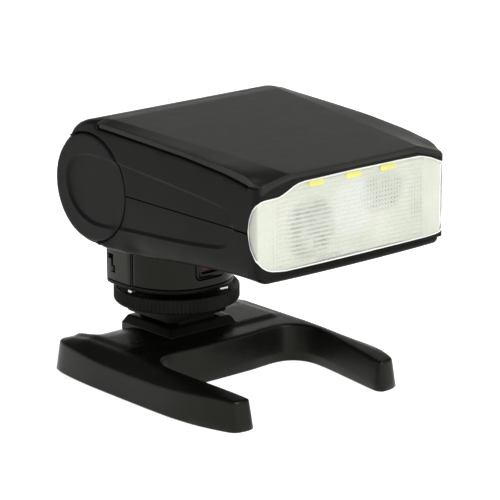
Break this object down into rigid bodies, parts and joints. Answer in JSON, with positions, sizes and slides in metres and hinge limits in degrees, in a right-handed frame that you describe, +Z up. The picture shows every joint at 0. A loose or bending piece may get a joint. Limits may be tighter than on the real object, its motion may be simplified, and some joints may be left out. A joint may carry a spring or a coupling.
{
  "type": "speedlight flash",
  "caption": "Compact camera flash with a tilting head, ribbed wide lens and battery drum, locked by its foot in the shoe of a small U-shaped table stand.",
  "frame": {"origin": "on the table under the middle of the object's bounding box, stand feet on z = 0", "axes": "+Z up, -Y the way the flash lens faces, +Y towards the control panel, X across the head with the battery door at -X"},
  "size_m": [0.0664, 0.0897, 0.0738],
  "materials": {
    "body_black": "satin black moulded plastic with a fine texture",
    "cover_black": "satin black top cover, slightly glossier than the sides",
    "gloss_black": "glossy black",
    "grey_panel": "satin dark grey",
    "ring_black": "black knurled ring",
    "stand_black": "black moulded stand with a low sheen",
    "rubber": "matt black rubber",
    "steel": "bright",
    "brass": "machined",
    "gold": "gold plated",
    "lens": "clear ribbed diffuser",
    "mirror": "bright reflector",
    "tube_glass": "clear tube",
    "phosphor": "yellow diode phosphor",
    "circuit": "green board",
    "white_plastic": "white",
    "cell_can": "printed can without lettering",
    "red_window": "dark red window"
  },
  "bodies": {
    "stand": {"stand_body": "stand_black", "stand_shoe": "stand_black", "rubber_foot_1": "rubber", "rubber_foot_2": "rubber", "rubber_foot_3": "rubber", "rubber_foot_4": "rubber", "tripod_insert": "brass"},
    "base": {"shoe_foot": "grey_panel", "contact_pin_1": "gold", "contact_pin_2": "gold", "contact_pin_3": "gold", "contact_pin_4": "gold", "contact_pin_5": "gold", "neck_housing": "body_black", "side_panel_left": "grey_panel", "side_panel_right": "grey_panel", "front_window": "gloss_black", "sensor_bezel": "body_black", "sensor_lens": "red_window", "sensor_emitter": "white_plastic", "neck_board": "circuit", "ring_tab_left": "steel", "ring_tab_front": "steel", "drum_shell": "body_black", "control_panel": "gloss_black", "ready_lamp": "red_window", "switch_board": "circuit", "end_cap": "body_black", "cell_upper": "cell_can", "cell_lower": "cell_can", "contact_plate": "steel", "contact_spring": "steel", "door_hinge_pin": "steel"},
    "ring": {"locking_ring": "ring_black"},
    "pin": {"lock_pin": "steel"},
    "head": {"top_cover": "cover_black", "head_upper_shell": "body_black", "head_lower_shell": "body_black", "head_screw_left": "steel", "head_screw_right": "steel", "flash_lens": "lens", "reflector": "mirror", "flash_tube": "tube_glass", "led_board": "white_plastic", "led_1": "phosphor", "led_2": "phosphor", "led_3": "phosphor", "capacitor": "gloss_black", "head_board": "circuit", "trigger_coil": "white_plastic", "tilt_ring": "steel"},
    "door": {"battery_door": "body_black", "door_contact": "steel"},
    "mode_key": {"mode_button": "grey_panel"},
    "minus_key": {"minus_button": "grey_panel"},
    "plus_key": {"plus_button": "grey_panel"},
    "test_key": {"test_button": "grey_panel"},
    "power_slider": {"power_switch": "grey_panel"},
    "neck_slider": {"side_switch": "grey_panel"}
  },
  "joints": [
    {"name": "shoe_slide", "type": "slide", "parent": "stand", "child": "base", "axis": [0, 1, 0], "range_m": [0, 0.022]},
    {"name": "ring_turn", "type": "hinge", "parent": "base", "child": "ring", "pos_m": [0, 0.02825, 0.02], "axis": [0, 0, 1], "range_deg": [0, 60]},
    {"name": "pin_drop", "type": "slide", "parent": "base", "child": "pin", "axis": [0, 0, -1], "range_m": [0, 0.0012]},
    {"name": "head_tilt", "type": "hinge", "parent": "base", "child": "head", "pos_m": [0, 0.02465, 0.0549], "axis": [-1, 0, 0], "range_deg": [0, 90]},
    {"name": "door_swing", "type": "hinge", "parent": "base", "child": "door", "pos_m": [-0.03135, 0.0385, 0.0549], "axis": [0, 0, -1], "range_deg": [0, 100]},
    {"name": "mode_press", "type": "slide", "parent": "base", "child": "mode_key", "axis": [0, -1, 0], "range_m": [0, 0.0005], "stiffness_N_per_m": 300},
    {"name": "minus_press", "type": "slide", "parent": "base", "child": "minus_key", "axis": [0, -1, 0], "range_m": [0, 0.0005], "stiffness_N_per_m": 300},
    {"name": "plus_press", "type": "slide", "parent": "base", "child": "plus_key", "axis": [0, -1, 0], "range_m": [0, 0.0005], "stiffness_N_per_m": 300},
    {"name": "test_press", "type": "slide", "parent": "base", "child": "test_key", "axis": [0, -1, 0], "range_m": [0, 0.0005], "stiffness_N_per_m": 300},
    {"name": "power_slide", "type": "slide", "parent": "base", "child": "power_slider", "axis": [1, 0, 0], "range_m": [0, 0.0035]},
    {"name": "neck_slide", "type": "slide", "parent": "base", "child": "neck_slider", "axis": [0, 0, 1], "range_m": [0, 0.0025]}
  ],
  "couplings": [
    {"joint": "ring_turn", "follows": "pin_drop", "rad_per_m": 872.6}
  ]
}
